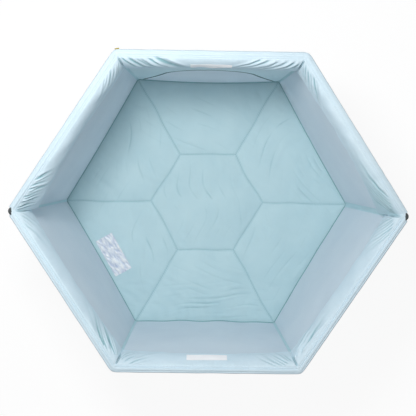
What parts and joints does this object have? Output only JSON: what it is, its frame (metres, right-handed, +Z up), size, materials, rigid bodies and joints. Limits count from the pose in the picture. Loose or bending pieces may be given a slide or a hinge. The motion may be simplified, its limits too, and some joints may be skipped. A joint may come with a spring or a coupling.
{
  "type": "folding playpen",
  "caption": "Folding hexagonal playpen: mesh walls with a padded rim and a zip door, a quilted floor, and a frame of posts and crossed bars that folds to a bundle.",
  "frame": {"origin": "on the ground under the middle of the pen, at the middle of its box", "axes": "+X to one of the two drawn-out corners, +Y to the door side, +Z up"},
  "size_m": [1.2848, 1.0344, 0.66],
  "materials": {
    "frame_tube": "satin drawn tube",
    "dark_plastic": "fine moulded grain",
    "lock_button": "fine moulded grain",
    "rim_fabric": "woven polyester",
    "wall_mesh": "fine knitted mesh",
    "floor_fabric": "quilted woven polyester",
    "zip_tape": "woven tape"
  },
  "bodies": {
    "post_1": {"post_tube_1": "frame_tube", "post_cap_1": "dark_plastic", "foot_hub_1": "dark_plastic", "rim_cover_1": "rim_fabric", "mesh_wall_1": "wall_mesh"},
    "post_2": {"post_tube_2": "frame_tube", "post_cap_2": "dark_plastic", "foot_hub_2": "dark_plastic", "rim_cover_2": "rim_fabric", "mesh_wall_2": "rim_fabric", "door_zip": "zip_tape"},
    "post_3": {"post_tube_3": "frame_tube", "post_cap_3": "dark_plastic", "foot_hub_3": "dark_plastic", "rim_cover_3": "rim_fabric", "mesh_wall_3": "wall_mesh"},
    "post_4": {"post_tube_4": "frame_tube", "post_cap_4": "dark_plastic", "foot_hub_4": "dark_plastic", "rim_cover_4": "rim_fabric", "mesh_wall_4": "wall_mesh"},
    "post_5": {"post_tube_5": "frame_tube", "post_cap_5": "dark_plastic", "foot_hub_5": "dark_plastic", "rim_cover_5": "rim_fabric", "mesh_wall_5": "wall_mesh"},
    "post_6": {"post_tube_6": "frame_tube", "post_cap_6": "dark_plastic", "foot_hub_6": "dark_plastic", "rim_cover_6": "rim_fabric", "mesh_wall_6": "wall_mesh"},
    "slider_1": {"slider_hub_1": "dark_plastic"},
    "slider_2": {"slider_hub_2": "dark_plastic"},
    "slider_3": {"slider_hub_3": "dark_plastic"},
    "slider_4": {"slider_hub_4": "dark_plastic"},
    "slider_5": {"slider_hub_5": "dark_plastic"},
    "slider_6": {"slider_hub_6": "dark_plastic"},
    "outer_bar_1": {"outer_bar_1": "frame_tube"},
    "inner_bar_1": {"inner_bar_1": "frame_tube"},
    "outer_bar_3": {"outer_bar_3": "frame_tube"},
    "inner_bar_3": {"inner_bar_3": "frame_tube"},
    "outer_bar_4": {"outer_bar_4": "frame_tube"},
    "inner_bar_4": {"inner_bar_4": "frame_tube"},
    "outer_bar_5": {"outer_bar_5": "frame_tube"},
    "inner_bar_5": {"inner_bar_5": "frame_tube"},
    "outer_bar_6": {"outer_bar_6": "frame_tube"},
    "inner_bar_6": {"inner_bar_6": "frame_tube"},
    "floor_1": {"floor_panel_1": "floor_fabric"},
    "floor_2": {"floor_panel_2": "floor_fabric"},
    "floor_3": {"floor_panel_3": "floor_fabric"},
    "floor_4": {"floor_panel_4": "floor_fabric"},
    "floor_5": {"floor_panel_5": "floor_fabric"},
    "floor_6": {"floor_panel_6": "floor_fabric"},
    "door": {"door_flap": "wall_mesh"},
    "zip_slider": {"zip_slider": "dark_plastic"},
    "lock_button_1": {"lock_button_1": "lock_button"},
    "lock_button_4": {"lock_button_4": "lock_button"}
  },
  "joints": [
    {"name": "fold", "type": "hinge", "parent": "post_5", "child": "outer_bar_5", "pos_m": [-0.256, -0.4952, 0.048], "axis": [0, -1, 0], "range_deg": [0, 61.74], "deforming": ["rim_cover_1", "rim_cover_2", "rim_cover_3", "rim_cover_4", "rim_cover_5", "rim_cover_6", "mesh_wall_1", "mesh_wall_2", "mesh_wall_3", "mesh_wall_4", "mesh_wall_5", "mesh_wall_6", "floor_panel_1", "floor_panel_2", "floor_panel_3", "floor_panel_4", "floor_panel_5", "floor_panel_6", "door_flap", "door_zip"]},
    {"name": "cross_5", "type": "hinge", "parent": "outer_bar_5", "child": "inner_bar_5", "pos_m": [0, -0.4952, 0.16746], "axis": [0, -1, 0], "range_deg": [-124.48, 0]},
    {"name": "inner_bar_5_foot", "type": "hinge", "parent": "inner_bar_5", "child": "post_6", "pos_m": [0.256, -0.4952, 0.048], "axis": [0, -1, 0], "range_deg": [0, 62.74]},
    {"name": "slider_6_pivot", "type": "hinge", "parent": "outer_bar_5", "child": "slider_6", "pos_m": [0.256, -0.4952, 0.28692], "axis": [0, -1, 0], "range_deg": [-62.74, 0]},
    {"name": "outer_bar_6_foot", "type": "hinge", "parent": "post_6", "child": "outer_bar_6", "pos_m": [0.31792, -0.46174, 0.048], "axis": [0.8365, -0.548, 0], "range_deg": [0, 62.74]},
    {"name": "cross_6", "type": "hinge", "parent": "outer_bar_6", "child": "inner_bar_6", "pos_m": [0.45821, -0.2476, 0.16746], "axis": [0.8365, -0.548, 0], "range_deg": [-124.48, 0]},
    {"name": "inner_bar_6_foot", "type": "hinge", "parent": "inner_bar_6", "child": "post_1", "pos_m": [0.5985, -0.03346, 0.048], "axis": [0.8365, -0.548, 0], "range_deg": [0, 62.74]},
    {"name": "slider_1_pivot", "type": "hinge", "parent": "outer_bar_6", "child": "slider_1", "pos_m": [0.5985, -0.03346, 0.28692], "axis": [0.8365, -0.548, 0], "range_deg": [-62.74, 0]},
    {"name": "outer_bar_1_foot", "type": "hinge", "parent": "post_1", "child": "outer_bar_1", "pos_m": [0.5985, 0.03346, 0.048], "axis": [0.8365, 0.548, 0], "range_deg": [0, 62.74]},
    {"name": "cross_1", "type": "hinge", "parent": "outer_bar_1", "child": "inner_bar_1", "pos_m": [0.45821, 0.2476, 0.16746], "axis": [0.8365, 0.548, 0], "range_deg": [-124.48, 0]},
    {"name": "inner_bar_1_foot", "type": "hinge", "parent": "inner_bar_1", "child": "post_2", "pos_m": [0.31792, 0.46174, 0.048], "axis": [0.8365, 0.548, 0], "range_deg": [0, 62.74]},
    {"name": "slider_2_pivot", "type": "hinge", "parent": "outer_bar_1", "child": "slider_2", "pos_m": [0.31792, 0.46174, 0.28692], "axis": [0.8365, 0.548, 0], "range_deg": [-62.74, 0]},
    {"name": "slider_5_pivot", "type": "hinge", "parent": "inner_bar_5", "child": "slider_5", "pos_m": [-0.256, -0.4952, 0.28692], "axis": [0, -1, 0], "range_deg": [0, 62.74]},
    {"name": "inner_bar_4_foot", "type": "hinge", "parent": "post_5", "child": "inner_bar_4", "pos_m": [-0.31792, -0.46174, 0.048], "axis": [-0.8365, -0.548, 0], "range_deg": [-62.74, 0]},
    {"name": "cross_4", "type": "hinge", "parent": "inner_bar_4", "child": "outer_bar_4", "pos_m": [-0.45821, -0.2476, 0.16746], "axis": [-0.8365, -0.548, 0], "range_deg": [0, 124.48]},
    {"name": "outer_bar_4_foot", "type": "hinge", "parent": "outer_bar_4", "child": "post_4", "pos_m": [-0.5985, -0.03346, 0.048], "axis": [-0.8365, -0.548, 0], "range_deg": [-62.74, 0]},
    {"name": "slider_4_pivot", "type": "hinge", "parent": "inner_bar_4", "child": "slider_4", "pos_m": [-0.5985, -0.03346, 0.28692], "axis": [-0.8365, -0.548, 0], "range_deg": [0, 62.74]},
    {"name": "inner_bar_3_foot", "type": "hinge", "parent": "post_4", "child": "inner_bar_3", "pos_m": [-0.5985, 0.03346, 0.048], "axis": [-0.8365, 0.548, 0], "range_deg": [-62.74, 0]},
    {"name": "cross_3", "type": "hinge", "parent": "inner_bar_3", "child": "outer_bar_3", "pos_m": [-0.45821, 0.2476, 0.16746], "axis": [-0.8365, 0.548, 0], "range_deg": [0, 124.48]},
    {"name": "outer_bar_3_foot", "type": "hinge", "parent": "outer_bar_3", "child": "post_3", "pos_m": [-0.31792, 0.46174, 0.048], "axis": [-0.8365, 0.548, 0], "range_deg": [-62.74, 0]},
    {"name": "slider_3_pivot", "type": "hinge", "parent": "inner_bar_3", "child": "slider_3", "pos_m": [-0.31792, 0.46174, 0.28692], "axis": [-0.8365, 0.548, 0], "range_deg": [0, 62.74]},
    {"name": "floor_1_lift", "type": "hinge", "parent": "post_1", "child": "floor_1", "pos_m": [0.4125, 0.23816, 0.0035], "axis": [-0.548, 0.8365, 0], "range_deg": [0, 80.09]},
    {"name": "floor_2_lift", "type": "hinge", "parent": "post_2", "child": "floor_2", "pos_m": [0, 0.47631, 0.0035], "axis": [-1, 0, 0], "range_deg": [0, 80.09]},
    {"name": "floor_3_lift", "type": "hinge", "parent": "post_3", "child": "floor_3", "pos_m": [-0.4125, 0.23816, 0.0035], "axis": [-0.548, -0.8365, 0], "range_deg": [0, 80.09]},
    {"name": "floor_4_lift", "type": "hinge", "parent": "post_4", "child": "floor_4", "pos_m": [-0.4125, -0.23816, 0.0035], "axis": [0.548, -0.8365, 0], "range_deg": [0, 80.09]},
    {"name": "floor_5_lift", "type": "hinge", "parent": "post_5", "child": "floor_5", "pos_m": [0, -0.47631, 0.0035], "axis": [1, 0, 0], "range_deg": [0, 80.09]},
    {"name": "floor_6_lift", "type": "hinge", "parent": "post_6", "child": "floor_6", "pos_m": [0.4125, -0.23816, 0.0035], "axis": [0.548, 0.8365, 0], "range_deg": [0, 80.09]},
    {"name": "door_swing", "type": "hinge", "parent": "post_2", "child": "door", "pos_m": [0, 0.4778, 0.02025], "axis": [-1, 0, 0], "range_deg": [0, 90]},
    {"name": "zip_run", "type": "slide", "parent": "post_2", "child": "zip_slider", "axis": [-0.2994, 0, 0.9541], "range_m": [0, 0.22]},
    {"name": "lock_1_press", "type": "slide", "parent": "slider_1", "child": "lock_button_1", "axis": [-1, 0, 0], "range_m": [0, 0.003], "stiffness_N_per_m": 900},
    {"name": "lock_4_press", "type": "slide", "parent": "slider_4", "child": "lock_button_4", "axis": [1, 0, 0], "range_m": [0, 0.003], "stiffness_N_per_m": 900}
  ],
  "couplings": [
    {"joint": "cross_5", "follows": "fold", "ratio": -2},
    {"joint": "inner_bar_5_foot", "follows": "fold", "ratio": 1},
    {"joint": "slider_6_pivot", "follows": "fold", "ratio": -1},
    {"joint": "outer_bar_6_foot", "follows": "fold", "ratio": 1},
    {"joint": "cross_6", "follows": "fold", "ratio": -2},
    {"joint": "inner_bar_6_foot", "follows": "fold", "ratio": 1},
    {"joint": "slider_1_pivot", "follows": "fold", "ratio": -1},
    {"joint": "outer_bar_1_foot", "follows": "fold", "ratio": 1},
    {"joint": "cross_1", "follows": "fold", "ratio": -2},
    {"joint": "inner_bar_1_foot", "follows": "fold", "ratio": 1},
    {"joint": "slider_2_pivot", "follows": "fold", "ratio": -1},
    {"joint": "slider_5_pivot", "follows": "fold", "ratio": 1},
    {"joint": "inner_bar_4_foot", "follows": "fold", "ratio": -1},
    {"joint": "cross_4", "follows": "fold", "ratio": 2},
    {"joint": "outer_bar_4_foot", "follows": "fold", "ratio": -1},
    {"joint": "slider_4_pivot", "follows": "fold", "ratio": 1},
    {"joint": "inner_bar_3_foot", "follows": "fold", "ratio": -1},
    {"joint": "cross_3", "follows": "fold", "ratio": 2},
    {"joint": "outer_bar_3_foot", "follows": "fold", "ratio": -1},
    {"joint": "slider_3_pivot", "follows": "fold", "ratio": 1},
    {"joint": "floor_1_lift", "follows": "fold", "ratio": 1.2811},
    {"joint": "floor_2_lift", "follows": "fold", "ratio": 1.2811},
    {"joint": "floor_3_lift", "follows": "fold", "ratio": 1.2811},
    {"joint": "floor_4_lift", "follows": "fold", "ratio": 1.2811},
    {"joint": "floor_5_lift", "follows": "fold", "ratio": 1.2811},
    {"joint": "floor_6_lift", "follows": "fold", "ratio": 1.2811}
  ]
}
